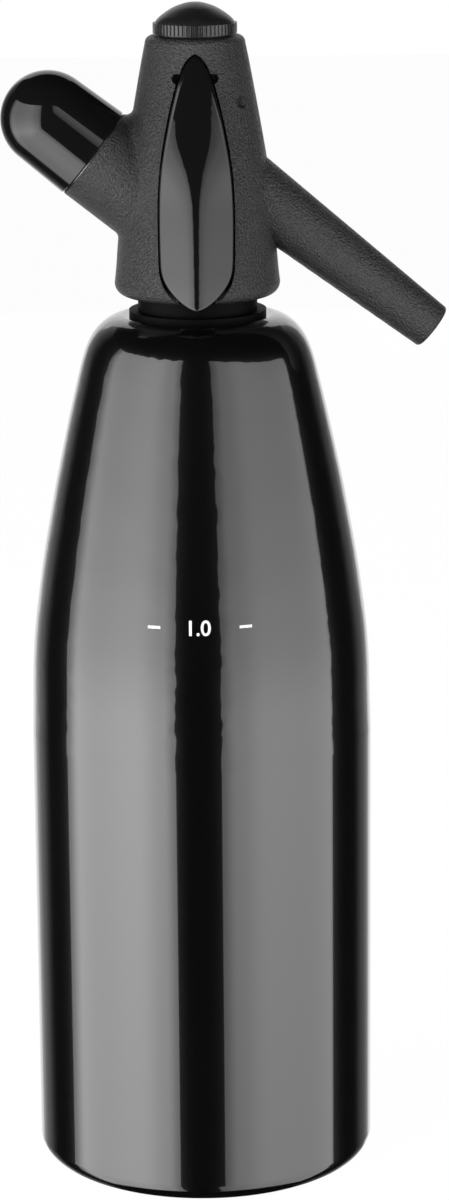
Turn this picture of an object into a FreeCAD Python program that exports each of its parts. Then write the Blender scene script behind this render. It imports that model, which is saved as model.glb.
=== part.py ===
# Soda siphon: bottle, head, spout, press lever, stem valve, charger holder and charger.
# Millimetres. Origin at the centre of the bottle's base, +Z up, +X towards the spout, -Y towards the lever.
import FreeCAD
import Part
import math
import os

os.makedirs("parts", exist_ok=True)
V = FreeCAD.Vector

# Clearances
RUN = 0.3
FIT = 0.05
EDGE = 1.0
FAR = 60.0

# Bottle
BOTTLE_R = 46.5
BODY_HEIGHT = 122.0
SHOULDER_HEIGHT = 114.7
SHOULDER_END_R = 20.4
BASE_CORNER_R = 5.0
BASE_RISE = 2.0
BASE_RING = 14.0
WALL = 1.3
SHOULDER_Z = BODY_HEIGHT + SHOULDER_HEIGHT
# Shoulder curve: share of the way in from wall to neck, share of the way up
SHOULDER_CURVE = ((0.0, 0.0), (0.010, 0.089), (0.020, 0.173), (0.048, 0.259), (0.096, 0.344), (0.152, 0.430),
                  (0.219, 0.515), (0.290, 0.601), (0.369, 0.686), (0.452, 0.772), (0.540, 0.856),
                  (0.613, 0.916), (0.682, 0.950), (0.774, 0.976), (0.885, 0.993), (1.0, 1.0))

# Neck and its collar
NECK_R = 13.0
NECK_BORE_R = 11.5
NECK_HEIGHT = 12.5
NECK_TOP_Z = SHOULDER_Z + NECK_HEIGHT
COLLAR_R = 16.0
COLLAR_HEIGHT = 5.2
COLLAR_FLANGE_R = 18.4
COLLAR_FLANGE_HEIGHT = 1.4

# Head housing
HEAD_HEIGHT = 68.8
HOUSING_WALL = 2.4
RIM_R = 22.15
RIM_ROUND = 3.3
TOP_R = 13.3
TOP_ROUND = 2.0
HEAD_Z = SHOULDER_Z + COLLAR_HEIGHT + RUN
HEAD_TOP_Z = HEAD_Z + HEAD_HEIGHT
# Side of the housing: share of the way in from rim to top, share of the way up
CONE_CURVE = ((0.0, 0.0), (0.056, 0.070), (0.096, 0.141), (0.232, 0.331), (0.390, 0.530), (0.480, 0.606),
              (0.605, 0.707), (0.734, 0.806), (0.864, 0.905), (1.0, 1.0))

# Spout: its outside, and the tube inside it
SPOUT_ANGLE = 37.95
SPOUT_RISE = 39.4
SPOUT_LEN = 80.0
SPOUT_TIP_R = 6.33
SPOUT_WALL = 2.2
SPOUT_TAPER = math.tan(math.radians(2.55))
TUBE_ANGLE = 40.4
TUBE_RISE = 43.8
TUBE_R = 3.2
TUBE_BORE_R = 2.4
TUBE_START = 9.6
TUBE_LEN = SPOUT_LEN + 2.6
NOZZLE_R = 4.5
NOZZLE_LEN = 7.4

# Charger and its holder, as distances along the holder's axis
HOLDER_ANGLE = 38.2
HOLDER_RISE = 16.35
CHARGER_R = 9.0
CHARGER_LEN = 64.8
CHARGER_NECK_R = 4.2
CHARGER_START = -4.5
CHARGER_GAP = 0.4
SOCKET_R = 13.1
SOCKET_END = 34.5
HOLDER_R = 13.25
HOLDER_DOME_R = 12.78
HOLDER_DOME_START = 49.75
CORE_TUBE_R = 11.0
CORE_TUBE_END = 42.0
CHARGER_BORE_R = CHARGER_R + CHARGER_GAP

# Lever
PIVOT_Y = -10.5
PIVOT_DROP = 16.8
PIVOT_Z = HEAD_TOP_Z - PIVOT_DROP
PIN_R = 1.5
PIN_LEFT = -9.6
PIN_RIGHT = 9.6
HUB_R = 3.2
HUB_HALF = 6.0
ARM_OUT = 4.8
ARM_IN = 2.3
ARM_REACH = 2.5
ARM_HEIGHT = 2.4
LEVER_THICK = 3.4
FACET = 0.45
LEVER_TIP_DROP = 1.1
LEVER_HALF = 11.0
LEVER_ROWS = 12
LEVER_COLUMNS = 8
LEVER_EDGES = (1.0, 0.7, 0.4)
LEVER_TOP_DROP = 4.1
LEVER_TRAVEL_DROP = 1.1
WINDOW_GAP = 0.45
RECESS_Y = -10.5
NOTCH_R = 1.35
NOTCH_X = 4.8
NOTCH_DROP = 10.1
# Lever outline from the front: half width, share of the way down
LEAF_CURVE = ((0.0, 0.0), (1.4, 0.017), (2.6, 0.043), (3.6, 0.074), (4.4, 0.105), (5.1, 0.141), (6.4, 0.219),
              (7.95, 0.334), (9.1, 0.447), (9.75, 0.644), (9.65, 0.781), (9.0, 0.868), (7.2, 0.919),
              (3.9, 0.970), (2.1, 0.988), (0.0, 1.0))
# Lever ridge: share of the way down, depth in front of the axis, roundness of the ridge
RIDGE_CURVE = ((-0.015, 13.7, 17.0), (0.074, 16.1, 17.0), (0.166, 18.15, 17.0), (0.257, 19.85, 16.0),
               (0.348, 21.2, 14.0), (0.447, 22.4, 7.2), (0.546, 23.3, 3.4), (0.644, 24.1, 2.4),
               (0.834, 25.1, 1.9), (1.01, 25.6, 1.7))

# Valve on the head's centre line, heights above the head's lower edge
SEAT_RISE = 34.8
SEAT_HEIGHT = 1.3
SEAT_R = 4.8
PORT_R = 2.4
SEAL_RISE = 42.8
SEAL_HEIGHT = 2.0
GLAND_R = 5.4
GLAND_HEIGHT = 3.2
GLAND_SINK = 46.8
STEM_R = 1.6
WASHER_R = 3.9
WASHER_HEIGHT = 1.55
LIFT_R = 5.4
LIFT_HEIGHT = 1.8
SPRING_WIRE_R = 0.6
SPRING_R = 4.6
SPRING_TURNS = 5
SEAT_Z = HEAD_Z + SEAT_RISE
SEAL_Z = HEAD_Z + SEAL_RISE
LIFT_Z = PIVOT_Z + 0.5 * ARM_HEIGHT + RUN
SPRING_TOP_Z = HEAD_TOP_Z - 1.7

# Core and riser
CORE_R = 9.5
SKIRT_R = COLLAR_R
SKIRT_BORE_R = NECK_R + 0.85
TOP_BORE_R = 7.2
CEILING_Z = NECK_TOP_Z + 1.8
RISER = (5.4, 5.8)
RISER_R = 1.4
DIP_R = 2.8
DIP_BORE_R = 1.9
DIP_FOOT_Z = 6.0
FERRULE_WALL = 0.45
PIN_SOCKET_R = CHARGER_NECK_R + RUN
DIP_SOCKET = 2.2
GAS_PORT = (4.2, -1.2)

# Cap over the valve
CAP_R = 11.15
CAP_RIB = 0.4
CAP_RIBS = 58
CAP_RING_HEIGHT = 2.7
CAP_SKIRT_R = 6.9
CAP_SKIRT = 6.0
DOME = ((10.6, 0.0), (9.9, 1.0), (8.65, 2.1), (7.2, 3.1), (5.4, 4.1), (4.0, 4.65), (2.0, 5.2), (0.0, 5.35))
CAP_Z = HEAD_TOP_Z + 0.6


def save(name, shape, merge=True):
    if merge:
        shape = shape.removeSplitter()
    if len(shape.Solids) != 1:
        print("PIECES", name, len(shape.Solids))
    if not shape.isValid():
        print("INVALID", name)
    shape.exportStep("parts/" + name + ".step")
    print(name, round(shape.Volume, 1))


# Plain forms
def cyl(r, z0, z1, x=0.0, y=0.0):
    return Part.makeCylinder(r, z1 - z0, V(x, y, z0), V(0, 0, 1))


def ring(r_in, r_out, z0, z1, x=0.0, y=0.0):
    return cyl(r_out, z0, z1, x, y).cut(cyl(r_in, z0 - EDGE, z1 + EDGE, x, y))


def box(x0, x1, y0, y1, z0, z1):
    return Part.makeBox(x1 - x0, y1 - y0, z1 - z0, V(x0, y0, z0))


def cross_pin(r, x0, x1):
    return Part.makeCylinder(r, x1 - x0, V(x0, PIVOT_Y, PIVOT_Z), V(1, 0, 0))


def curve(points):
    spline = Part.BSplineCurve()
    spline.interpolate(points)
    return spline.toShape()


def line(a, b):
    return Part.LineSegment(a, b).toShape()


def lines(points):
    return [line(a, b) for a, b in zip(points, points[1:])]


def spun(edges):
    wire = Part.Wire(Part.__sortEdges__(edges))
    return Part.Face(wire).revolve(V(0, 0, 0), V(0, 0, 1), 360)


def spun_outline(points):
    corners = [V(r, 0, z) for r, z in points]
    return spun(lines(corners + [corners[0]]))


def along(shape, tilt, rise):
    moved = shape.copy()
    moved.rotate(V(0, 0, 0), V(0, 1, 0), tilt)
    moved.translate(V(0, 0, HEAD_Z + rise))
    return moved


def on_holder(shape):
    return along(shape, HOLDER_ANGLE - 90, HOLDER_RISE)


def on_spout(shape):
    return along(shape, SPOUT_ANGLE + 90, SPOUT_RISE)


def on_tube(shape):
    return along(shape, TUBE_ANGLE + 90, TUBE_RISE)


# Bottle
def shoulder_points(inset):
    path = [(BOTTLE_R - share * (BOTTLE_R - SHOULDER_END_R), BODY_HEIGHT + up * SHOULDER_HEIGHT)
            for share, up in SHOULDER_CURVE]
    points = []
    for i, (r, z) in enumerate(path):
        r0, z0 = path[max(i - 1, 0)]
        r1, z1 = path[min(i + 1, len(path) - 1)]
        span = math.hypot(r1 - r0, z1 - z0)
        out_r, out_z = ((z1 - z0) / span, (r0 - r1) / span) if i else (1.0, 0.0)
        points.append(V(r - out_r * inset, 0, z - out_z * inset))
    return points


def bottle_side(inset):
    r = BOTTLE_R - inset
    corner = BASE_CORNER_R - inset
    flat = r - corner
    middle = math.sqrt(0.5) * corner
    centre = inset + BASE_RISE
    foot = 0.5 * corner + 0.5
    start = flat - BASE_RING
    dish = [V(start, 0, centre), V(start + 0.43 * BASE_RING, 0, centre - 0.4 * BASE_RISE),
            V(start + 0.68 * BASE_RING, 0, centre - 0.9 * BASE_RISE), V(flat - foot, 0, inset)]
    arc = Part.Arc(V(flat, 0, inset), V(flat + middle, 0, inset + corner - middle), V(r, 0, inset + corner))
    shoulder = shoulder_points(inset)
    edges = [line(V(0, 0, centre), dish[0]), curve(dish), line(dish[-1], V(flat, 0, inset)), arc.toShape(),
             line(V(r, 0, inset + corner), shoulder[0]), curve(shoulder)]
    return edges, shoulder[-1], V(0, 0, centre)


def bottle():
    side, end, bottom = bottle_side(0.0)
    neck = [end, V(NECK_R, 0, SHOULDER_Z), V(NECK_R, 0, NECK_TOP_Z), V(0, 0, NECK_TOP_Z), bottom]
    solid = spun(side + lines(neck))
    side, end, bottom = bottle_side(WALL)
    above = NECK_TOP_Z + EDGE
    bore = [end, V(NECK_BORE_R, 0, end.z - WALL), V(NECK_BORE_R, 0, above), V(0, 0, above), bottom]
    return solid.cut(spun(side + lines(bore)))


def neck_collar():
    flange = ring(NECK_R, COLLAR_FLANGE_R, SHOULDER_Z, SHOULDER_Z + COLLAR_FLANGE_HEIGHT)
    return flange.fuse(ring(NECK_R, COLLAR_R, SHOULDER_Z, SHOULDER_Z + COLLAR_HEIGHT))


# Head housing
def cone_point(share, up, inset):
    low = HEAD_Z + RIM_ROUND
    high = HEAD_TOP_Z - TOP_ROUND
    return V(RIM_R - share * (RIM_R - TOP_R) - inset, 0, low + up * (high - low))


def cone_outside():
    side = [cone_point(share, up, 0.0) for share, up in CONE_CURVE]
    rim, top = side[0], side[-1]
    bend = math.sqrt(0.5)
    rim_arc = Part.Arc(V(rim.x - RIM_ROUND, 0, HEAD_Z),
                       V(rim.x - RIM_ROUND * (1 - bend), 0, HEAD_Z + RIM_ROUND * (1 - bend)), rim)
    top_arc = Part.Arc(top, V(top.x - 0.3 * TOP_ROUND, 0, top.z + 0.72 * TOP_ROUND),
                       V(top.x - 0.85 * TOP_ROUND, 0, HEAD_TOP_Z))
    ends = [V(top.x - 0.85 * TOP_ROUND, 0, HEAD_TOP_Z), V(0, 0, HEAD_TOP_Z), V(0, 0, HEAD_Z),
            V(rim.x - RIM_ROUND, 0, HEAD_Z)]
    return spun([curve(side), rim_arc.toShape(), top_arc.toShape()] + lines(ends))


def cone_inside(inset, top_drop):
    side = [cone_point(share, up, inset) for share, up in CONE_CURVE]
    ends = [side[-1], V(0, 0, side[-1].z), V(0, 0, side[0].z), side[0]]
    return spun([curve(side)] + lines(ends)).common(cyl(FAR, HEAD_Z, HEAD_TOP_Z - top_drop))


def leaf_height(down):
    top = HEAD_TOP_Z - LEVER_TOP_DROP
    return top - down * (top - HEAD_Z + LEVER_TIP_DROP)


def leaf_prism(grow, y0, y1):
    # The lever's outline seen from the front, as a block from y0 to y1.
    right = []
    for half, down in LEAF_CURVE:
        end = 1.0 if half < 3.0 else 0.4
        lift = grow * end * (1.0 if down < 0.5 else -1.0)
        right.append(V(half + grow * min(1.0, 0.5 * half), y0, leaf_height(down) + lift))
    left = [V(-p.x, y0, p.z) for p in reversed(right)]
    return Part.Face(Part.Wire([curve(right), curve(left)])).extrude(V(0, y1 - y0, 0))


def spout_cone(inset, s0, s1):
    r0 = SPOUT_TIP_R + (SPOUT_LEN - s0) * SPOUT_TAPER - inset
    r1 = SPOUT_TIP_R + (SPOUT_LEN - s1) * SPOUT_TAPER - inset
    return Part.makeCone(r0, r1, s1 - s0, V(0, 0, s0), V(0, 0, 1))


def rounded_spout():
    spout = spout_cone(0.0, 4.0, SPOUT_LEN)
    rim = [e for e in spout.Edges if e.BoundBox.ZMin > SPOUT_LEN - 0.1 and e.Length > SPOUT_TIP_R]
    return spout.makeFillet(1.0, rim)


def joined_outside():
    # The cone with the spout and the socket, their joins rounded.
    outer = cone_outside().fuse([on_spout(rounded_spout()), on_holder(cyl(SOCKET_R, 3.0, SOCKET_END))])
    outer = outer.removeSplitter()
    joins = [e for e in outer.Edges if e.Length > 20 and e.BoundBox.XMin * e.BoundBox.XMax > 0
             and HEAD_Z + 8 < e.BoundBox.Center.z < PIVOT_Z and e.BoundBox.YLength > 15
             and abs(e.BoundBox.Center.x) < RIM_R]
    rounded = outer.makeFillet(2.0, joins)
    print("joins rounded", len(joins))
    return rounded if rounded.isValid() else outer


def lever_window():
    split = PIVOT_Z + HUB_R + 0.1
    low = leaf_prism(WINDOW_GAP, -FAR, -8.0).common(box(-FAR, FAR, -FAR, -8.0, 0, split))
    lowered = low.copy()
    lowered.translate(V(0, 0, -LEVER_TRAVEL_DROP))
    high = leaf_prism(WINDOW_GAP, -FAR, RECESS_Y).common(box(-FAR, FAR, -FAR, RECESS_Y, split - 0.5, 400))
    notch_z = HEAD_TOP_Z - NOTCH_DROP
    notches = [Part.makeCylinder(NOTCH_R, FAR + RECESS_Y - EDGE, V(x, -FAR, notch_z), V(0, 1, 0))
               for x in (-NOTCH_X, NOTCH_X)]
    hub = cross_pin(HUB_R + RUN, -HUB_HALF - RUN, HUB_HALF + RUN)
    return low.fuse([lowered, high, hub] + notches)


def pivot_bosses():
    shell = cone_inside(0.5 * HOUSING_WALL, 0.0).cut(cyl(CORE_R, HEAD_Z, HEAD_TOP_Z))
    y0, y1 = PIVOT_Y - 2.9, PIVOT_Y + 3.1
    z0, z1 = PIVOT_Z - HUB_R, PIVOT_Z + HUB_R
    gap = HUB_HALF + 0.4
    return [box(gap, RIM_R, y0, y1, z0, z1).common(shell), box(-RIM_R, -gap, y0, y1, z0, z1).common(shell)]


def head_housing():
    body = joined_outside()
    body = body.cut(cone_inside(HOUSING_WALL, PIVOT_DROP - HUB_R - 0.5).cut(cyl(FAR, HEAD_Z, HEAD_Z + HOUSING_WALL)))
    body = body.cut(on_spout(spout_cone(SPOUT_WALL, 6.0, SPOUT_LEN - 9.0)))
    body = body.cut(on_holder(cyl(CORE_TUBE_R, 0.0, SOCKET_END + EDGE)))
    body = body.cut(cyl(COLLAR_R + RUN, HEAD_Z - EDGE, HEAD_Z + 2 * RIM_ROUND))
    body = body.cut(cyl(CORE_R, PIVOT_Z - HUB_R, HEAD_TOP_Z + EDGE)).cut(lever_window())
    for boss in pivot_bosses():
        body = body.fuse(boss)
    body = body.cut(cross_pin(PIN_R, PIN_LEFT, RIM_R)).cut(on_tube(cyl(TUBE_R, 0.6 * TUBE_LEN, TUBE_LEN)))
    return body.cut(on_tube(cyl(NOZZLE_R, TUBE_LEN - NOZZLE_LEN - 0.6, TUBE_LEN + FAR)))


# Metal core inside the head
def charger_space():
    return on_holder(spun_outline([(0, -6.0), (PIN_SOCKET_R, -6.0), (PIN_SOCKET_R, 2.8), (CHARGER_BORE_R, 9.0),
                                   (CHARGER_BORE_R, FAR), (0, FAR)]))


def head_core():
    skirt_top = HEAD_Z + 13.8
    body = cyl(SKIRT_R, HEAD_Z + 0.2, skirt_top)
    cone = Part.makeCone(SKIRT_R, CORE_R, 8.0, V(0, 0, skirt_top), V(0, 0, 1))
    charger_tube = on_holder(cyl(CORE_TUBE_R, -6.0, CORE_TUBE_END)).common(cyl(FAR, CEILING_Z, HEAD_TOP_Z))
    for piece in (cone, cyl(CORE_R, skirt_top, HEAD_TOP_Z), cyl(2 * RISER_R, skirt_top, SEAT_Z + 2.0, *RISER),
                  on_tube(cyl(TUBE_R + 2.4, 0.0, 15.0)), charger_tube):
        body = body.fuse(piece)
    feed_z = SEAT_Z - 1.4
    feed = Part.makeCylinder(1.4, math.hypot(*RISER), V(0, 0, feed_z), V(RISER[0], RISER[1], 0))
    window = box(-HUB_HALF - 0.6, HUB_HALF + 0.6, -SKIRT_R, -3.5, GLAND_SINK + HEAD_Z, PIVOT_Z + HUB_R + 3.0)
    for space in (cyl(SKIRT_BORE_R, HEAD_Z - EDGE, CEILING_Z), charger_space(), on_holder(cyl(1.9, -8.2, -5.0)),
                  cyl(1.0, CEILING_Z - EDGE, CEILING_Z + 3.4, *GAS_PORT),
                  cyl(DIP_R, CEILING_Z - EDGE, CEILING_Z + DIP_SOCKET, *RISER),
                  cyl(RISER_R, CEILING_Z + EDGE, feed_z, *RISER), feed, cyl(PORT_R, SEAT_Z - 2.8, SEAT_Z + EDGE),
                  cyl(SEAT_R, SEAT_Z, SEAL_Z + EDGE), cyl(GLAND_R, SEAL_Z, SEAL_Z + 6.0),
                  cyl(TOP_BORE_R, HEAD_Z + GLAND_SINK, HEAD_TOP_Z + EDGE), window,
                  on_tube(cyl(TUBE_BORE_R, 4.0, 40.0)), on_tube(cyl(TUBE_R, TUBE_START, 40.0))):
        body = body.cut(space)
    return body


# Spout
def spout_tube():
    return on_tube(ring(TUBE_BORE_R, TUBE_R, TUBE_START, TUBE_LEN - NOZZLE_LEN - 0.6))


def spout_nozzle():
    start = TUBE_LEN - NOZZLE_LEN - 0.6
    mouth = Part.makeCone(TUBE_BORE_R, TUBE_BORE_R + 1.2, 2.6, V(0, 0, TUBE_LEN - 3.0), V(0, 0, 1))
    return on_tube(ring(TUBE_BORE_R, NOZZLE_R, start, TUBE_LEN - 0.6).cut(mouth))


# Lever
def ridge_at(down):
    # Depth and roundness of the ridge, read smoothly from its table.
    rows = RIDGE_CURVE
    i = max(k for k in range(len(rows) - 1) if rows[k][0] <= down)
    (d0, *low), (d1, *high) = rows[i], rows[i + 1]
    before, after = rows[max(i - 1, 0)], rows[min(i + 2, len(rows) - 1)]
    t = (down - d0) / (d1 - d0)
    values = []
    for k in range(2):
        slope_low = (high[k] - before[k + 1]) / (d1 - before[0]) * (d1 - d0)
        slope_high = (after[k + 1] - low[k]) / (after[0] - d0) * (d1 - d0)
        values.append(low[k] * (1 + 2 * t) * (1 - t) ** 2 + slope_low * t * (1 - t) ** 2
                      + high[k] * t * t * (3 - 2 * t) + slope_high * t * t * (t - 1))
    return values


def lever_front():
    # The shown face: a keel that fades into a smooth crown towards the top.
    rows = []
    for step in range(LEVER_ROWS + 1):
        down = -0.015 + 1.025 * step / LEVER_ROWS
        depth, roundness = ridge_at(down)
        row = []
        for i in range(-LEVER_COLUMNS, LEVER_COLUMNS + 1):
            x = LEVER_HALF * (i / LEVER_COLUMNS) * abs(i / LEVER_COLUMNS)
            y = FACET * (math.hypot(x, roundness) - roundness) - depth
            row.append(V(x, y, leaf_height(down)))
        rows.append(row)
    surface = Part.BSplineSurface()
    surface.interpolate(rows)
    return surface.toShape()


def lever_leaf():
    leaf = lever_front().extrude(V(0, LEVER_THICK, 0)).common(leaf_prism(0.0, -FAR, 0.0))
    sides = sorted((e for e in leaf.Edges if e.Length > 50), key=lambda e: e.CenterOfMass.y)
    for radius in LEVER_EDGES:
        try:
            rounded = leaf.makeFillet(radius, sides[:2])
        except (Part.OCCError, ValueError):
            continue
        if rounded.isValid() and rounded.Volume < leaf.Volume:
            print("lever edge", radius)
            return rounded
    return leaf


def lever():
    web = box(-ARM_OUT, ARM_OUT, -17.5, PIVOT_Y, PIVOT_Z - HUB_R, PIVOT_Z + 1.6)
    low, high = PIVOT_Z - 0.5 * ARM_HEIGHT, PIVOT_Z + 0.5 * ARM_HEIGHT
    arms = [box(ARM_IN, ARM_OUT, PIVOT_Y, ARM_REACH, low, high),
            box(-ARM_OUT, -ARM_IN, PIVOT_Y, ARM_REACH, low, high)]
    body = lever_leaf().fuse([cross_pin(HUB_R, -HUB_HALF, HUB_HALF), web] + arms)
    return body.cut(cross_pin(PIN_R + FIT, -FAR, FAR))


# Valve
def valve_stem():
    flange_z = SEAT_Z + SEAT_HEIGHT + 0.55 + WASHER_HEIGHT
    stem = cyl(STEM_R, flange_z, LIFT_Z + LIFT_HEIGHT + 2.2).fuse(cyl(WASHER_R - 0.3, flange_z, flange_z + 1.2))
    return stem.fuse(cyl(0.9, SEAT_Z + 0.6, flange_z + EDGE))


def valve_washer():
    low = SEAT_Z + SEAT_HEIGHT + 0.55
    return ring(0.9, WASHER_R, low, low + WASHER_HEIGHT)


def washer_nut():
    top = SEAT_Z + SEAT_HEIGHT + 0.55
    return ring(0.9, 1.9, top - 1.15, top)


def valve_seat():
    lip = ring(PORT_R, PORT_R + 0.6, SEAT_Z + SEAT_HEIGHT, SEAT_Z + SEAT_HEIGHT + 0.2)
    return ring(PORT_R, SEAT_R, SEAT_Z, SEAT_Z + SEAT_HEIGHT).fuse(lip)


def gland_nut():
    low = SEAL_Z + SEAL_HEIGHT
    return ring(STEM_R + FIT, GLAND_R, low, low + GLAND_HEIGHT)


def lift_collar():
    top = LIFT_Z + LIFT_HEIGHT
    return ring(STEM_R, LIFT_R, LIFT_Z, top).fuse(ring(STEM_R, 2.8, LIFT_Z, top + 1.4))


def valve_spring():
    # Wound wire between the lift collar and the cap, as half-turn arcs.
    bottom = LIFT_Z + LIFT_HEIGHT + FIT + SPRING_WIRE_R
    top = SPRING_TOP_Z - SPRING_WIRE_R
    halves = 2 * SPRING_TURNS

    def point(t):
        angle = math.pi * t
        return V(SPRING_R * math.cos(angle), SPRING_R * math.sin(angle), bottom + (top - bottom) * t / halves)

    arcs = [Part.Arc(point(i), point(i + 0.5), point(i + 1)).toShape() for i in range(halves)]
    direction = arcs[0].tangentAt(arcs[0].FirstParameter)
    circle = Part.Wire(Part.makeCircle(SPRING_WIRE_R, point(0), direction))
    return Part.Wire(arcs).makePipeShell([circle], True, False)


# Cap over the valve
def valve_cap():
    rim = []
    for i in range(CAP_RIBS):
        for part, r in ((0.1, CAP_R - CAP_RIB), (0.3, CAP_R), (0.7, CAP_R), (0.9, CAP_R - CAP_RIB)):
            a = 2 * math.pi * (i + part) / CAP_RIBS
            rim.append(V(r * math.cos(a), r * math.sin(a), CAP_Z))
    ribs = Part.Face(Part.makePolygon(rim + [rim[0]])).extrude(V(0, 0, CAP_RING_HEIGHT))
    base = CAP_Z + CAP_RING_HEIGHT
    crown = [V(r, 0, base + up) for r, up in DOME]
    dome = spun([curve(crown)] + lines([crown[-1], V(0, 0, CAP_Z), V(crown[0].x, 0, CAP_Z), crown[0]]))
    neck = cyl(CAP_R - 1.15, CAP_Z - RUN, CAP_Z + 0.2).fuse(cyl(CAP_SKIRT_R, HEAD_TOP_Z - CAP_SKIRT, CAP_Z + 0.2))
    body = ribs.fuse(dome).fuse(neck)
    return body.cut(cyl(CAP_SKIRT_R - 1.2, HEAD_TOP_Z - FAR, SPRING_TOP_Z + 0.1))


# Charger holder, charger and piercing pin
def holder_cap():
    low = SOCKET_END + RUN
    end = HOLDER_DOME_START + HOLDER_DOME_R
    bend = HOLDER_DOME_R * math.sqrt(0.5)
    lip = 0.4
    wall = lines([V(0, 0, low), V(HOLDER_R - lip, 0, low), V(HOLDER_R, 0, low + lip),
                  V(HOLDER_DOME_R, 0, HOLDER_DOME_START)])
    dome = Part.Arc(V(HOLDER_DOME_R, 0, HOLDER_DOME_START), V(bend, 0, HOLDER_DOME_START + bend), V(0, 0, end))
    solid = spun(wall + [dome.toShape(), line(V(0, 0, end), V(0, 0, low))])
    bore = CORE_TUBE_R + RUN
    step = CORE_TUBE_END + RUN
    inside = spun_outline([(0, low - EDGE), (bore, low - EDGE), (bore, step), (CHARGER_BORE_R, step + 1.0),
                           (CHARGER_BORE_R, end - 9.0), (7.5, end - 5.0), (4.5, end - 2.7), (0, end - 2.0)])
    return on_holder(solid.cut(inside))


def gas_charger():
    s0, s1 = CHARGER_START, CHARGER_START + CHARGER_LEN
    neck = s0 + 8.0
    tail = s1 - 7.2
    recess = 1.5
    shoulder = [V(CHARGER_NECK_R, 0, neck), V(5.6, 0, neck + 1.6), V(7.6, 0, neck + 4.4),
                V(8.7, 0, neck + 7.5), V(CHARGER_R, 0, neck + 11.0)]
    bottom = [V(CHARGER_R, 0, tail), V(8.1, 0, tail + 3.0), V(6.0, 0, tail + 5.3), V(3.4, 0, tail + 6.6),
              V(0, 0, s1)]
    nose = [V(0, 0, s1), V(0, 0, s0 + 3.4), V(recess, 0, s0 + 3.4), V(recess, 0, s0), V(CHARGER_NECK_R, 0, s0),
            shoulder[0]]
    return on_holder(spun([curve(shoulder), line(shoulder[-1], bottom[0]), curve(bottom)] + lines(nose)))


def piercing_pin():
    pin = cyl(1.9, -8.2, -6.4).fuse(cyl(0.8, -6.5, -3.8)).fuse(Part.makeCone(0.8, 0.1, 1.4, V(0, 0, -3.8)))
    return on_holder(pin.cut(cyl(0.35, -9.0, -4.2)))


def pin_gasket():
    return on_holder(ring(1.9, PIN_SOCKET_R - 0.1, -6.0, -4.8))


def gas_nipple():
    low = CEILING_Z - 5.5
    nipple = ring(0.7, 2.0, low + EDGE, CEILING_Z, *GAS_PORT).fuse(cyl(2.0, low, low + EDGE, *GAS_PORT))
    return nipple.cut(Part.makeCylinder(0.6, 6.0, V(GAS_PORT[0] - 3.0, GAS_PORT[1], low + 2.5), V(1, 0, 0)))


def nipple_sleeve():
    return ring(2.0, 2.7, CEILING_Z - 5.0, CEILING_Z - 0.6, *GAS_PORT)


# Riser
def dip_tube():
    return ring(DIP_BORE_R, DIP_R, DIP_FOOT_Z + 3.0, CEILING_Z + DIP_SOCKET, *RISER)


def dip_tube_foot():
    foot = ring(DIP_R, DIP_R + 1.0, DIP_FOOT_Z, DIP_FOOT_Z + 11.0, *RISER)
    return foot.cut(box(RISER[0] - 6, RISER[0] + 6, RISER[1] - 1.2, RISER[1] + 1.2, 0, DIP_FOOT_Z + 2.4))


def dip_tube_ferrule():
    return ring(DIP_R, DIP_R + FERRULE_WALL, CEILING_Z - 4.5, CEILING_Z, *RISER)


save("bottle", bottle())
save("neck_collar", neck_collar())
save("head_housing", head_housing())
save("head_core", head_core(), merge=False)
save("neck_gasket", ring(NECK_BORE_R + 0.2, NECK_R - 0.1, NECK_TOP_Z + RUN, CEILING_Z))
save("spout_tube", spout_tube())
save("spout_nozzle", spout_nozzle())
save("lever", lever())
save("lever_pin", cross_pin(PIN_R, PIN_LEFT, PIN_RIGHT))
save("valve_seat", valve_seat())
save("valve_washer", valve_washer())
save("valve_stem", valve_stem())
save("washer_nut", washer_nut())
save("stem_seal", ring(STEM_R + FIT, GLAND_R, SEAL_Z, SEAL_Z + SEAL_HEIGHT))
save("gland_nut", gland_nut())
save("lift_collar", lift_collar())
save("valve_spring", valve_spring())
save("valve_cap", valve_cap())
save("cap_seal", ring(TOP_BORE_R, CORE_R - 0.2, HEAD_TOP_Z, CAP_Z - RUN))
save("holder_cap", holder_cap())
save("gas_charger", gas_charger())
save("piercing_pin", piercing_pin())
save("pin_gasket", pin_gasket())
save("gas_nipple", gas_nipple())
save("nipple_sleeve", nipple_sleeve())
save("dip_tube", dip_tube())
save("dip_tube_foot", dip_tube_foot())
save("dip_tube_ferrule", dip_tube_ferrule())
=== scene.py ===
# %% [markdown]
# A soda siphon is a slim lacquered metal bottle under a grained plastic head. The head carries a glossy
# press lever, a spout, and a holder for the gas charger. The engineering model already gives each piece
# its true shape, so this lesson loads it and then gives every surface its finish.

# %% Load the engineering model
import math

import bmesh
import bpy
from mathutils import Matrix, Vector


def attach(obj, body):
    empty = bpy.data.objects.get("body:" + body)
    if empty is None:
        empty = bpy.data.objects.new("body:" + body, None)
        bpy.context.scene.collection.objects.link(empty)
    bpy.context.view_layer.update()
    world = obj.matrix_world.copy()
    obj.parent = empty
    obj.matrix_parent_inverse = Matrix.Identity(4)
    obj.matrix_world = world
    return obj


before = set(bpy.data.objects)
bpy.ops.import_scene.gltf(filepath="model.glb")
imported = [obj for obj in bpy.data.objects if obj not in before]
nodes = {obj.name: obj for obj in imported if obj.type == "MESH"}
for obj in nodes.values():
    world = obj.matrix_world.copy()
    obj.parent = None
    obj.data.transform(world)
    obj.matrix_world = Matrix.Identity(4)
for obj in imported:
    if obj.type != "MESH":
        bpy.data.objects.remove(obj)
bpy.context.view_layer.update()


# %% [markdown]
# A finish is a graph of nodes, and graphs are hard to read when they are wired by hand. One small class
# wraps a number that flows through the graph, so that sums and products are written as plain Python.
# Each operator adds one Math node. Colours keep their own nodes, because a Math node turns them grey.

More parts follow.
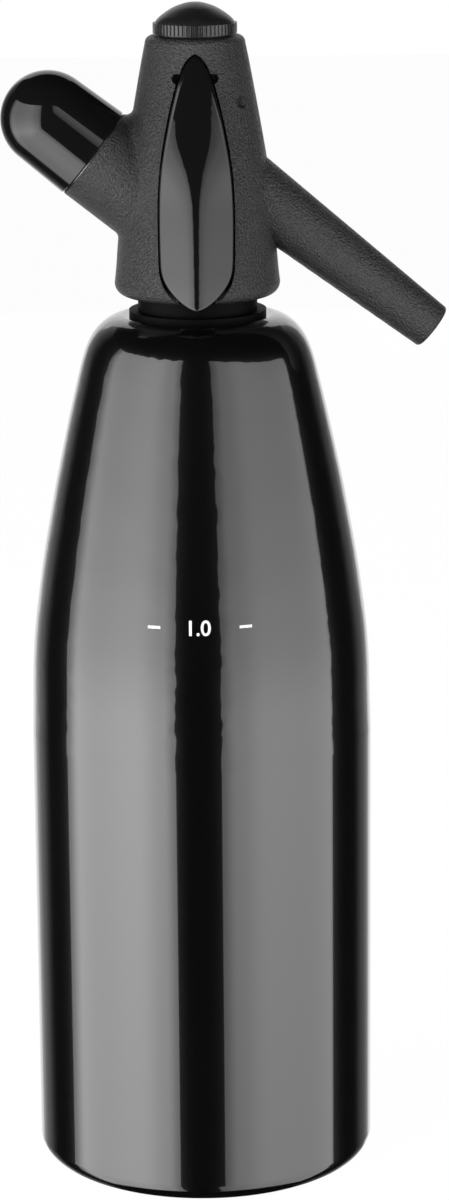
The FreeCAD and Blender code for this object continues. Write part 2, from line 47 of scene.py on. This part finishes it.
# %% Numbers that flow through a graph
class Flow:
    """A number that varies over a surface."""

    def __init__(self, graph, socket):
        self.graph = graph
        self.socket = socket

    def maths(self, operation, first, second, clamp=False):
        settings = {"operation": operation, "use_clamp": clamp}
        return self.graph.node("ShaderNodeMath", settings, {0: first, 1: second}).flow(0)

    def __add__(self, other):
        return self.maths("ADD", self, other)

    def __radd__(self, other):
        return self.maths("ADD", other, self)

    def __sub__(self, other):
        return self.maths("SUBTRACT", self, other)

    def __rsub__(self, other):
        return self.maths("SUBTRACT", other, self)

    def __mul__(self, other):
        return self.maths("MULTIPLY", self, other)

    def __rmul__(self, other):
        return self.maths("MULTIPLY", other, self)

    def larger(self, other):
        return self.maths("MAXIMUM", self, other)

    def clamped(self):
        return self.maths("ADD", self, 0.0, clamp=True)


print("flows can be added, subtracted and multiplied")


# %% [markdown]
# Every other node comes from one method. It sets the node's own settings first, and then gives each
# input a value or a link. The method serves the materials, the room and the rule that draws the neck's
# thread. Wiring each graph by hand would work as well, but the idea of a graph gets lost in its links.

# %% Graphs of nodes
def fill_ramp(ramp, stops):
    """Sets a ramp's stops, each a place from 0 to 1 and a grey level."""
    ends = (ramp.elements[0], ramp.elements[1])
    for element, (place, level) in zip(ends, (stops[0], stops[-1])):
        element.position = place
        element.color = (level, level, level, 1)
    for place, level in stops[1:-1]:
        ramp.elements.new(place).color = (level, level, level, 1)


def in_use(sockets, name):
    """The socket of this name that the node's settings leave in use."""
    return [socket for socket in sockets if socket.name == name and socket.enabled][0]


class Step:
    """One node of a graph, with its outputs."""

    def __init__(self, graph, node):
        self.graph = graph
        self.node = node

    def out(self, name):
        return self.node.outputs[name]

    def flow(self, name):
        return Flow(self.graph, self.node.outputs[name])


class Graph:
    """A tree of nodes that is built step by step."""

    def __init__(self, tree):
        self.tree = tree

    def connect(self, source, target):
        if isinstance(source, Flow):
            source = source.socket
        if isinstance(source, bpy.types.NodeSocket):
            self.tree.links.new(source, target)
        else:
            target.default_value = source

    def node(self, kind, settings=None, inputs=None):
        made = self.tree.nodes.new(kind)
        for key, value in (settings or {}).items():
            if key == "stops":
                fill_ramp(made.color_ramp, value)
            elif key == "interpolation":
                made.color_ramp.interpolation = value
            else:
                setattr(made, key, value)
        for key, value in (inputs or {}).items():
            self.connect(value, made.inputs[key])
        return Step(self, made)

    def place(self):
        return self.node("ShaderNodeTexCoord").out("Object")

    def blend(self, amount, low, high, how="MIX"):
        mix = self.node("ShaderNodeMix", {"data_type": "RGBA", "blend_type": how})
        for name, value in (("Factor", amount), ("A", low), ("B", high)):
            self.connect(value, in_use(mix.node.inputs, name))
        return in_use(mix.node.outputs, "Result")


print("graph tools ready")


# %% [markdown]
# No real surface is quite even, so each finish lays noise over its colour, its roughness and its relief.
# Noise that reads Object coordinates needs no unwrapping and no image, and it stays on the piece when the
# piece moves. Painted images could show single scratches, but they need a map of every piece.

# %% Finishes
COOLNESS = 1.02


def grey(level):
    """A grey with a trace of blue."""
    return (level, level, level * COOLNESS, 1.0)


class Finish(Graph):
    """A material with its shader. A link into the shader's roughness replaces the number given here."""

    def __init__(self, name, roughness, **numbers):
        self.material = bpy.data.materials.new(name)
        self.material.use_nodes = True
        super().__init__(self.material.node_tree)
        self.shader = self.tree.nodes["Principled BSDF"]
        self.shader.inputs["Roughness"].default_value = roughness
        for socket, value in numbers.items():
            self.shader.inputs[socket.replace("_", " ")].default_value = value

    def into(self, socket, source):
        self.connect(source, self.shader.inputs[socket])

    def noise(self, per_metre, detail=3.0, roughness=0.5, where=None):
        inputs = {"Vector": where or self.place(), "Scale": per_metre, "Detail": detail,
                  "Roughness": roughness}
        return self.node("ShaderNodeTexNoise", {"noise_dimensions": "3D"}, inputs).flow("Fac")

    def stretched(self, stretch):
        """Object coordinates with their own scale along each axis."""
        return self.node("ShaderNodeMapping", {}, {"Vector": self.place(), "Scale": stretch}).out("Vector")

    def bump(self, height, depth):
        inputs = {"Height": height, "Distance": depth, "Strength": 1.0}
        self.into("Normal", self.node("ShaderNodeBump", {}, inputs).out("Normal"))

    def surface(self, pattern, shades, smoothest, spread, relief, depth):
        """Colour and roughness follow one pattern, and the relief follows its own."""
        self.into("Base Color", self.blend(pattern, *shades))
        self.into("Roughness", smoothest + pattern * spread)
        self.bump(relief, depth)
        return self.material


def tell(*materials):
    for material in materials:
        print(material.name, "has", len(material.node_tree.nodes), "nodes")


# %% [markdown]
# The bottle is drawn metal under a deep black lacquer. A clear coat over a dark base gives two layers of
# reflection, as real lacquer does, and one glossy layer alone would look like plastic. The coat isn't
# perfectly flat: a faint waviness bends the reflections, and the sheen drifts where hands polished it.

# %% Black lacquer of the bottle
def lacquer():
    finish = Finish("black_lacquer", 0.22, Coat_Weight=1.0, Coat_Roughness=0.035, Coat_IOR=1.50,
                    Specular_IOR_Level=0.12)
    drift = finish.noise(per_metre=9.0, detail=3.0, roughness=0.6)
    wave = finish.noise(per_metre=26.0, detail=2.0)
    dust = finish.noise(per_metre=900.0, detail=2.0)
    return finish.surface(drift, (grey(0.0014), grey(0.0026)), smoothest=0.17, spread=0.09,
                          relief=wave * 0.9 + dust * 0.04, depth=0.00012)


black_lacquer = lacquer()
tell(black_lacquer)


# %% [markdown]
# The head's housing is moulded plastic with a fine grain, as a spark-eroded mould leaves it. Grain is a
# height. It could be cut into the mesh, but at this size that takes millions of faces, so it goes through
# a Bump node. Two sizes of noise are layered: a pebble of about 0.7 mm, and finer grit on it. The tops of
# the pebbles are worn a little smoother and paler than the hollows.

# %% Grained plastic of the housing
HOLLOW = 0.42
TOP_STEEPNESS = 4.0


def grained_plastic():
    finish = Finish("grained_black_plastic", 0.42, Specular_IOR_Level=0.55)
    pebble = finish.noise(per_metre=1500.0, detail=3.0, roughness=0.6)
    grit = finish.noise(per_metre=3600.0, detail=2.0, roughness=0.6)
    patch = finish.noise(per_metre=60.0, detail=3.0)
    height = pebble * 0.75 + grit * 0.25
    tops = ((height - HOLLOW) * TOP_STEEPNESS).clamped()
    shade = (tops * 0.7 + patch * 0.3).clamped()
    finish.into("Base Color", finish.blend(shade, grey(0.002), grey(0.018)))
    finish.into("Roughness", 0.44 - tops * 0.14)
    finish.bump(height, depth=0.00095)
    return finish.material


grained_black = grained_plastic()
tell(grained_black)


# %% [markdown]
# The lever and the charger holder are polished plastic. They mirror the room almost as sharply as glass
# does, so their roughness is low and nearly even. A perfectly even one would look computed, so a slow
# waviness bends the reflections slightly, and faint wipe marks change its shade and its roughness.

# %% Polished plastic of the lever and the holder
def polished_plastic():
    finish = Finish("polished_black_plastic", 0.09, Specular_IOR_Level=0.04, Coat_Weight=0.60,
                    Coat_Roughness=0.03)
    wipe = finish.noise(per_metre=140.0, detail=4.0, roughness=0.7)
    slow = finish.noise(per_metre=55.0, detail=1.0)
    return finish.surface(wipe, (grey(0.0035), grey(0.0060)), smoothest=0.06, spread=0.07,
                          relief=slow, depth=0.00006)


polished_black = polished_plastic()
tell(polished_black)


# %% [markdown]
# The valve cap and the spout's mouth are plastic left half dull from the mould, which spreads a highlight
# into a soft glow. A middle roughness and a very fine grain give that. The ring on the bottle's shoulder
# lies in the head's shadow and returns next to no light, so its darker grey and weaker reflection are
# painted shade for that shadow, not the ring's own colour.

# %% Satin plastic of the valve cap, and plastic of the ring darkened as painted shade
def satin_plastic():
    finish = Finish("satin_black_plastic", 0.30, Specular_IOR_Level=0.45)
    fine = finish.noise(per_metre=2600.0, detail=2.0)
    drift = finish.noise(per_metre=120.0, detail=3.0)
    return finish.surface(drift, (grey(0.006), grey(0.014)), smoothest=0.24, spread=0.10,
                          relief=fine, depth=0.00008)


# Painted shade: the ring's dark greys and weak reflection stand for the shadow the head casts on it.
def painted_shade_plastic():
    finish = Finish("painted_shade_black_plastic", 0.5, Specular_IOR_Level=0.03)
    grain = finish.noise(per_metre=2200.0, detail=2.0)
    return finish.surface(grain, (grey(0.0015), grey(0.0035)), smoothest=0.44, spread=0.14,
                          relief=grain, depth=0.00006)


satin_black = satin_plastic()
painted_shade_black = painted_shade_plastic()
tell(satin_black, painted_shade_black)


# %% [markdown]
# Metals share one recipe: a metallic base, a colour that drifts a little, and fine marks from the tool
# that shaped them. A turned part has its marks round its axis. Noise that is squeezed along Z gives such
# rings on the upright parts without an image, and fine lines on the tilted ones. Cast metal has the same
# marks in every direction.

# %% Metals of the inner parts
STAIN_PER_METRE = 170.0
CAST_MARKS = (900, 900, 900)
TURNED_MARKS = (140, 140, 5200)
BRASS_MARKS = (160, 160, 4800)


def worked_metal(name, dark, light, roughness, stretch, depth):
    finish = Finish(name, roughness, Metallic=1.0)
    marks = finish.noise(per_metre=1.0, detail=4.0, roughness=0.6, where=finish.stretched(stretch))
    stain = finish.noise(per_metre=STAIN_PER_METRE, detail=4.0, roughness=0.6)
    finish.into("Base Color", finish.blend((marks * 0.5 + stain * 0.5).clamped(), dark, light))
    finish.into("Roughness", roughness - 0.07 + stain * 0.14 + marks * 0.04)
    finish.bump(marks, depth)
    return finish.material


cast_metal = worked_metal("cast_aluminium", (0.40, 0.40, 0.41, 1), (0.66, 0.66, 0.67, 1), 0.42,
                          CAST_MARKS, 0.00008)
turned_steel = worked_metal("turned_steel", (0.44, 0.44, 0.45, 1), (0.66, 0.66, 0.67, 1), 0.26,
                            TURNED_MARKS, 0.00002)
black_steel = worked_metal("blackened_steel", (0.012, 0.012, 0.013, 1), (0.03, 0.03, 0.032, 1), 0.40,
                           TURNED_MARKS, 0.00002)
turned_brass = worked_metal("turned_brass", (0.55, 0.39, 0.14, 1), (0.78, 0.60, 0.28, 1), 0.28,
                            BRASS_MARKS, 0.00002)
tell(cast_metal, turned_steel, black_steel, turned_brass)


# %% [markdown]
# Seals are black rubber, matt and a little dusty. The dip tube is milky plastic. Real transparency would
# show too much of what is behind it, so its finish mixes in scattering under the surface, which lets
# light soak in and keeps the tube cloudy. Its lines run along the tube, as extrusion leaves them.

# %% Rubber and milky plastic
TUBE_LINES = (900, 900, 60)


def seal_rubber():
    finish = Finish("seal_rubber", 0.75, Specular_IOR_Level=0.3)
    bloom = finish.noise(per_metre=700.0, detail=4.0, roughness=0.65)
    return finish.surface(bloom, (grey(0.018), grey(0.055)), smoothest=0.66, spread=0.2,
                          relief=bloom, depth=0.00005)


def milky_plastic():
    finish = Finish("milky_plastic", 0.32, Subsurface_Weight=0.35, Subsurface_Scale=0.004)
    lines = finish.noise(per_metre=1.0, detail=3.0, where=finish.stretched(TUBE_LINES))
    return finish.surface(lines, ((0.74, 0.74, 0.70, 1), (0.86, 0.86, 0.83, 1)), smoothest=0.26,
                          spread=0.12, relief=lines, depth=0.00003)


rubber = seal_rubber()
milky = milky_plastic()
tell(rubber, milky)


# %% [markdown]
# Each piece of the engineering model gets the finish of its real material, except the ring on the
# shoulder, whose darker finish is painted shade. Its mesh stays as it is, and only its material slots
# change. One table from finish to pieces shows what is made of what, which a line for every piece would
# hide.

# %% Dress the engineering pieces
DRESS = {
    black_lacquer: ("bottle",),
    grained_black: ("head_housing",),
    polished_black: ("lever", "holder_cap"),
    satin_black: ("valve_cap", "spout_nozzle"),
    # The ring's finish is painted shade for the head's shadow.
    painted_shade_black: ("neck_collar",),
    cast_metal: ("head_core",),
    black_steel: ("lever_pin",),
    turned_steel: ("spout_tube", "valve_stem", "valve_spring", "gas_charger"),
    turned_brass: ("valve_seat", "washer_nut", "gland_nut", "lift_collar", "piercing_pin", "gas_nipple"),
    rubber: ("neck_gasket", "valve_washer", "stem_seal", "cap_seal", "pin_gasket", "nipple_sleeve"),
    milky: ("dip_tube", "dip_tube_foot", "dip_tube_ferrule"),
}

for material, names in DRESS.items():
    for name in names:
        slots = nodes[name].data.materials
        slots.clear()
        slots.append(material)
print("dressed", sum(len(names) for names in DRESS.values()), "of", len(nodes), "pieces")


# %% [markdown]
# The neck's thread is one ridge that winds up a cylinder, so its shape follows a rule. It could be
# modelled by hand once, but a rule can be changed. Geometry Nodes draws a spiral with the thread's own
# pitch and sweeps a small round profile along it. The sizes are named inputs, so the same tree could draw
# any other thread.

# %% Rule of the neck's thread
NECK_RADIUS = 0.0130
THREAD_PITCH = 0.0022
THREAD_TURNS = 2.6
THREAD_START = 0.2424
RIDGE_RADIUS = 0.00062
SPIRAL_POINTS = 64
RIDGE_SIDES = 10


def thread_tree():
    tree = bpy.data.node_groups.new("neck_thread_rule", "GeometryNodeTree")
    for name, value in (("Radius", NECK_RADIUS), ("Pitch", THREAD_PITCH), ("Turns", THREAD_TURNS),
                        ("Ridge", RIDGE_RADIUS)):
        socket = tree.interface.new_socket(name, in_out="INPUT", socket_type="NodeSocketFloat")
        socket.default_value = value
    tree.interface.new_socket("Geometry", in_out="OUTPUT", socket_type="NodeSocketGeometry")
    rule = Graph(tree)
    sizes = rule.node("NodeGroupInput")
    radius, turns = sizes.out("Radius"), sizes.out("Turns")
    spiral = rule.node("GeometryNodeCurveSpiral", {}, {
        "Resolution": SPIRAL_POINTS, "Rotations": turns, "Start Radius": radius, "End Radius": radius,
        "Height": sizes.flow("Pitch") * turns})
    profile = {"Resolution": RIDGE_SIDES, "Radius": sizes.out("Ridge")}
    ring = rule.node("GeometryNodeCurvePrimitiveCircle", {}, profile)
    shape = rule.node("GeometryNodeCurveToMesh", {}, {
        "Curve": spiral.out("Curve"), "Profile Curve": ring.out("Curve"), "Fill Caps": True}).out("Mesh")
    for kind, inputs in (("GeometryNodeTransform", {"Translation": (0, 0, THREAD_START)}),
                         ("GeometryNodeSetShadeSmooth", {}),
                         ("GeometryNodeRealizeInstances", {}),
                         ("GeometryNodeSetMaterial", {"Material": black_lacquer})):
        shape = rule.node(kind, {}, {"Geometry": shape, **inputs}).out("Geometry")
    rule.node("NodeGroupOutput", {}, {"Geometry": shape})
    return tree


thread_rule = thread_tree()
print("the thread's rule has", len(thread_rule.nodes), "nodes")


# %% [markdown]
# A rule is kept live while it is being designed. A finished piece is a plain mesh, because everything
# that reads the scene later can handle that. So the tree runs once, and its result replaces the rule.

# %% Thread on the bottle's neck
def add_object(name, data):
    made = bpy.data.objects.new(name, data)
    bpy.context.collection.objects.link(made)
    return made


def made_by_nodes(name, tree, body):
    """Runs a Geometry Nodes tree once and keeps its result as a plain mesh."""
    carrier = add_object(name, bpy.data.meshes.new(name))
    modifier = carrier.modifiers.new("rule", "NODES")
    modifier.node_group = tree
    depsgraph = bpy.context.evaluated_depsgraph_get()
    mesh = bpy.data.meshes.new_from_object(carrier.evaluated_get(depsgraph))
    carrier.modifiers.clear()
    carrier.data = mesh
    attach(carrier, body)
    return carrier


neck_thread = made_by_nodes("neck_thread", thread_rule, "bottle")
print("neck_thread", len(neck_thread.data.polygons), "faces")


# %% [markdown]
# The fill mark is a thin white print that follows the bottle's round wall: a plain number between two
# dashes. A painted image would do, but it blurs from close by, so the print is made of faces. A text
# object gives the digits as a flat mesh, and its strokes are thickened a little, as print ink spreads.

# %% Flat digits
DIGIT_HEIGHT = 0.0041
STROKE_SPREAD = 0.014


def flat_digits(body):
    """The digits as a flat mesh, centred and scaled to their height."""
    curve = bpy.data.curves.new("fill_mark", "FONT")
    curve.body = body
    curve.size = 1.0
    curve.offset = STROKE_SPREAD
    text = add_object("fill_mark_text", curve)
    depsgraph = bpy.context.evaluated_depsgraph_get()
    mesh = bpy.data.meshes.new_from_object(text.evaluated_get(depsgraph))
    bpy.data.objects.remove(text)
    across = [vert.co.x for vert in mesh.vertices]
    up = [vert.co.y for vert in mesh.vertices]
    scale = DIGIT_HEIGHT / (max(up) - min(up))
    middle = Vector(((max(across) + min(across)) / 2, (max(up) + min(up)) / 2, 0))
    for vert in mesh.vertices:
        vert.co = (vert.co - middle) * scale
    return mesh


digits = flat_digits("1.0")
print("digits", len(digits.polygons), "faces")


# %% [markdown]
# A flat print has to bend round the bottle. Each point is laid on the wall by turning its sideways
# distance into an angle, and long edges are cut first so that they can follow the curve. The print stands
# a hair above the lacquer, as ink does.

# %% Printed fill mark
MARK_HEIGHT = 0.1608
DASH_PLACE = 0.0122
DASH_WIDTH = 0.0034
DASH_THICK = 0.00075
INK = 0.00005
PRINT_CELL = 0.0006
PRINT_CUTS = 3
# Heights and outer radii of the bottle's wall near the mark
WALL_POINTS = ((0.150, 0.04536), (0.155, 0.04486), (0.160, 0.04420), (0.165, 0.04347), (0.170, 0.04269))


def wall_radius(height):
    for (z0, r0), (z1, r1) in zip(WALL_POINTS, WALL_POINTS[1:]):
        if height <= z1:
            return r0 + (r1 - r0) * (height - z0) / (z1 - z0)
    return WALL_POINTS[-1][1]


def ink_finish():
    finish = Finish("white_ink", 0.5)
    grain = finish.noise(per_metre=2500.0, detail=2.0)
    finish.into("Base Color", finish.blend(grain, grey(0.72), grey(0.86)))
    return finish.material


def add_dashes(shape):
    for side in (-1, 1):
        corners = [shape.verts.new((side * DASH_PLACE + u * DASH_WIDTH / 2, v * DASH_THICK / 2, 0))
                   for u, v in ((-1, -1), (1, -1), (1, 1), (-1, 1))]
        shape.faces.new(corners)


def lay_on_wall(shape):
    for vert in shape.verts:
        height = MARK_HEIGHT + vert.co.y
        radius = wall_radius(height) + INK
        turn = vert.co.x / radius
        vert.co = Vector((radius * math.sin(turn), -radius * math.cos(turn), height))
    bmesh.ops.recalc_face_normals(shape, faces=shape.faces)
    for face in shape.faces:
        if face.normal.y > 0:
            face.normal_flip()


def fill_mark(mesh):
    shape = bmesh.new()
    shape.from_mesh(mesh)
    add_dashes(shape)
    bmesh.ops.triangulate(shape, faces=shape.faces)
    long_edges = [edge for edge in shape.edges if edge.calc_length() > PRINT_CELL]
    bmesh.ops.subdivide_edges(shape, edges=long_edges, cuts=PRINT_CUTS, use_grid_fill=True)
    lay_on_wall(shape)
    shape.to_mesh(mesh)
    shape.free()
    made = add_object("fill_mark", mesh)
    mesh.materials.clear()
    mesh.materials.append(ink_finish())
    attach(made, "bottle")
    return made


mark = fill_mark(digits)
print("fill mark", len(mark.data.polygons), "faces")


# %% [markdown]
# The siphon stands on a white floor against white. A floor that glowed would shine on it like a lamp, so
# this one is white only where the camera sees it, and plain pale paint to all other light, which keeps
# the object's shadow on it. The board behind is for reflections alone: polished edges mirror it, and the
# camera looks through it at the white room.

# %% White floor and backdrop
FLOOR_HALF = 3.0
FLOOR_SEEN = 0.94
FLOOR_GLOW = 1.04
BACK_Y = 1.4
BACK_HALF = 0.72
BACK_LOW = -1.2
BACK_HIGH = 1.6
STAGE_SHADE = 0.8


def bare_graph(name):
    """A new material, and its graph with nothing in it."""
    material = bpy.data.materials.new(name)
    material.use_nodes = True
    material.node_tree.nodes.clear()
    return material, Graph(material.node_tree)


def stage_finish(name, shade, seen, glow_level=1.0):
    """Glows white where the camera or a mirror sees it, and is plain paint to all other light."""
    material, graph = bare_graph(name)
    path = graph.node("ShaderNodeLightPath")
    mirrored = path.flow("Is Glossy Ray").larger(path.flow("Is Transmission Ray"))
    looks = path.flow("Is Camera Ray").larger(mirrored)
    paint = graph.node("ShaderNodeBsdfDiffuse", {}, {"Color": (shade, shade, shade, 1)})
    glow = graph.node("ShaderNodeEmission", {}, {"Strength": glow_level})
    mix = graph.node("ShaderNodeMixShader", {}, {"Fac": looks * seen, 1: paint.out(0), 2: glow.out(0)})
    graph.node("ShaderNodeOutputMaterial", {}, {"Surface": mix.out(0)})
    return material


def card(name, corners, material):
    mesh = bpy.data.meshes.new(name)
    mesh.from_pydata(corners, [], [(0, 1, 2, 3)])
    mesh.materials.append(material)
    board = add_object(name, mesh)
    return board


CORNERS = ((-1, 0), (1, 0), (1, 1), (-1, 1))
floor = card("floor", [(u * FLOOR_HALF, FLOOR_HALF if v else -FLOOR_HALF, 0) for u, v in CORNERS],
             stage_finish("white_floor", STAGE_SHADE, FLOOR_SEEN, FLOOR_GLOW))
floor.visible_glossy = False
backdrop = card("backdrop", [(u * BACK_HALF, BACK_Y, BACK_HIGH if v else BACK_LOW) for u, v in CORNERS],
                stage_finish("white_backdrop", STAGE_SHADE, 1.0))
backdrop.visible_camera = False
print("stage", floor.name, backdrop.name)


# %% [markdown]
# A glossy black object is lit by what it mirrors, so the shape of a light matters more than its power.
# The lights here are walls that glow. How bright a wall is follows two ramps, one across it and one
# upwards, which gives the soft edges of the bands on the bottle. Small lamps would give hard spots.

# %% How a light wall glows
WALL_LOW = -1.60
RAMP_HIGH = 0.90
HEIGHT_GLOW = ((0.0, 0.55), (0.40, 0.75), (0.464, 0.84), (0.572, 1.0), (0.652, 0.86), (0.778, 0.66),
               (0.852, 0.60), (1.0, 0.58))
LEFT_GLOW = ((0.0, 0.45), (0.10, 0.78), (0.30, 1.0), (0.85, 0.74), (1.0, 0.25))
RIGHT_GLOW = ((0.0, 0.42), (0.12, 0.78), (0.35, 1.0), (0.97, 0.76), (1.0, 0.5))
RIM_GLOW = ((0.0, 0.05), (0.45, 0.30), (1.0, 0.65))


def glow_finish(name, strength, stops):
    """A light's own surface: one ramp runs from its inner to its outer edge, and one runs upwards."""
    material, graph = bare_graph(name)
    sheet = graph.node("ShaderNodeUVMap", {"uv_map": "across"}).out("UV")
    across = graph.node("ShaderNodeSeparateXYZ", {}, {"Vector": sheet}).out("X")
    sideways = graph.node("ShaderNodeValToRGB", {"interpolation": "EASE", "stops": stops}, {"Fac": across})
    height = graph.node("ShaderNodeSeparateXYZ", {}, {"Vector": graph.place()}).out("Z")
    limits = {"Value": height, "From Min": WALL_LOW, "From Max": RAMP_HIGH}
    share = graph.node("ShaderNodeMapRange", {}, limits).out("Result")
    upwards = graph.node("ShaderNodeValToRGB", {"stops": HEIGHT_GLOW}, {"Fac": share})
    colour = graph.blend(1.0, sideways.out("Color"), upwards.out("Color"), "MULTIPLY")
    glow = graph.node("ShaderNodeEmission", {}, {"Strength": strength, "Color": colour})
    graph.node("ShaderNodeOutputMaterial", {}, {"Surface": glow.out("Emission")})
    return material


print("glow ramps ready")


# %% [markdown]
# Two tall walls stand to the left and right in front, with a dark gap between them where the camera is,
# and they make the two broad bands on the bottle. Two faint ones behind draw the bottle's edges. Each
# wall is bent round the object, so that it is equally far away all along. Angles count from straight in
# front, and the camera sees none of the walls.

# %% Light walls round the object
WALL_STEPS = 40
WALL_DISTANCE = 1.15
# Name, finish, inner and outer angle, height at the inner and outer edge, strength, ramp across
LIGHTS = (
    ("left_light", "left_glow", -17, -102, 1.15, 0.92, 7.4, LEFT_GLOW),
    ("right_light", "right_glow", 13, 98, 1.15, 0.60, 4.6, RIGHT_GLOW),
    ("left_rim", "left_rim_glow", -126, -154, 0.9, 0.9, 1.0, RIM_GLOW),
    ("right_rim", "right_rim_glow", 126, 154, 0.9, 0.9, 0.7, RIM_GLOW),
)


def light_wall(name, inner, outer, high_inner, high_outer, material):
    """A curved sheet between two angles, with its sideways share kept in the UV map called across."""
    verts, shares = [], []
    for i in range(WALL_STEPS + 1):
        share = i / WALL_STEPS
        angle = math.radians(inner + (outer - inner) * share)
        spot = (WALL_DISTANCE * math.sin(angle), -WALL_DISTANCE * math.cos(angle))
        high = high_inner + (high_outer - high_inner) * share
        verts += [(*spot, WALL_LOW), (*spot, high)]
        shares += [share, share]
    faces = [(2 * i, 2 * i + 1, 2 * i + 3, 2 * i + 2) for i in range(WALL_STEPS)]
    mesh = bpy.data.meshes.new(name)
    mesh.from_pydata(verts, [], faces)
    layer = mesh.uv_layers.new(name="across")
    for loop in mesh.loops:
        layer.data[loop.index].uv = (shares[loop.vertex_index], 0.5)
    mesh.materials.append(material)
    wall = add_object(name, mesh)
    wall.visible_camera = False


for name, finish, inner, outer, high_inner, high_outer, strength, stops in LIGHTS:
    light_wall(name, inner, outer, high_inner, high_outer, glow_finish(finish, strength, stops))
print("light walls", len(LIGHTS))


# %% [markdown]
# The room itself is white to the camera and nearly dark to everything else, so the background is white
# without a haze of light on the black finishes. A white room that really shone would grey them all.

# %% Room
ROOM_LEVEL = 0.014


def studio_world():
    world = bpy.data.worlds.new("studio")
    world.use_nodes = True
    room = Graph(world.node_tree)
    dim = room.tree.nodes["Background"]
    dim.inputs["Color"].default_value = (ROOM_LEVEL, ROOM_LEVEL, ROOM_LEVEL, 1)
    white = room.node("ShaderNodeBackground", {}, {"Color": (1, 1, 1, 1), "Strength": 1.0})
    to_camera = room.node("ShaderNodeLightPath").out("Is Camera Ray")
    mix = room.node("ShaderNodeMixShader", {}, {"Fac": to_camera, 1: dim.outputs[0], 2: white.out(0)})
    room.connect(mix.out(0), room.tree.nodes["World Output"].inputs["Surface"])
    bpy.context.scene.world = world


studio_world()
print("room", bpy.context.scene.world.name)


# %% [markdown]
# The camera's place was worked out from the bottle's own edges: it looks down by about 14 degrees from
# about one metre away. A long lens keeps the bottle's sides nearly upright, and a wide one from
# close by would make them lean.

# %% Camera
CAMERA_PLACE = (0.0065, -1.008, 0.408)
CAMERA_TILT = 76.04
CAMERA_ROLL = -0.5
LENS = 114.0
SENSOR_WIDTH = 36.0


def camera():
    data = bpy.data.cameras.new("camera")
    data.lens = LENS
    data.sensor_width = SENSOR_WIDTH
    view = add_object("camera", data)
    tilt = Matrix.Rotation(math.radians(CAMERA_TILT), 4, "X")
    roll = Matrix.Rotation(math.radians(CAMERA_ROLL), 4, "Z")
    view.matrix_world = Matrix.Translation(CAMERA_PLACE) @ (tilt @ roll)
    bpy.context.scene.camera = view


camera()
bpy.context.scene.view_settings.view_transform = "Standard"
print("camera at", CAMERA_PLACE)
